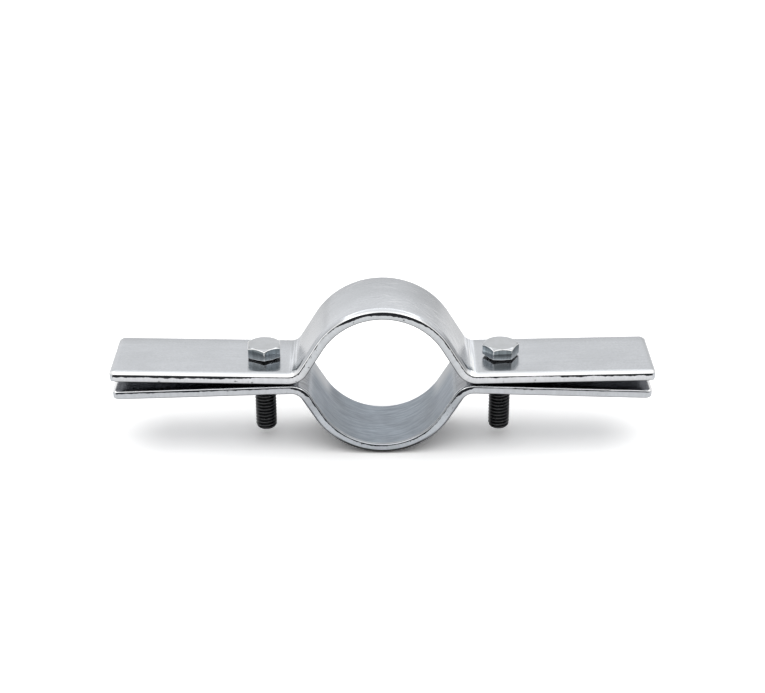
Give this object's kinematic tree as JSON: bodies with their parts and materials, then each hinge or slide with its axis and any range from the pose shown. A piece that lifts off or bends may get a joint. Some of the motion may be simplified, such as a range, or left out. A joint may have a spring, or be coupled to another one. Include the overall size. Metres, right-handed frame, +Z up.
{
  "type": "pipe riser clamp",
  "caption": "Split pipe riser clamp: bowed steel straps with long flat ears, drawn together round a vertical pipe by hexagon-head bolts.",
  "frame": {"origin": "centre of the pipe bore, halfway along it", "axes": "+X along the ears, +Y along the pipe's axis, +Z up towards the bolt heads"},
  "size_m": [0.2386, 0.0382, 0.07],
  "materials": {
    "strap": "bright zinc plate, satin",
    "bolt": "bright zinc plate, polished heads"
  },
  "bodies": {
    "lower": {"lower_strap": "strap"},
    "upper": {"upper_strap": "strap"},
    "left_bolt": {"left_bolt": "bolt"},
    "right_bolt": {"right_bolt": "bolt"}
  },
  "joints": [
    {"name": "strap_opening", "type": "slide", "parent": "lower", "child": "upper", "axis": [0, 0, 1], "range_m": [0, 0.02223]},
    {"name": "left_bolt_turn", "type": "hinge", "parent": "upper", "child": "left_bolt", "pos_m": [-0.05258, 0, 0], "axis": [0, 0, 1], "range_deg": [0, 5040]},
    {"name": "right_bolt_turn", "type": "hinge", "parent": "upper", "child": "right_bolt", "pos_m": [0.05258, 0, 0], "axis": [0, 0, 1], "range_deg": [0, 5040]}
  ],
  "couplings": [
    {"joint": "left_bolt_turn", "follows": "strap_opening", "rad_per_m": 3957.9},
    {"joint": "right_bolt_turn", "follows": "strap_opening", "rad_per_m": 3957.9}
  ]
}
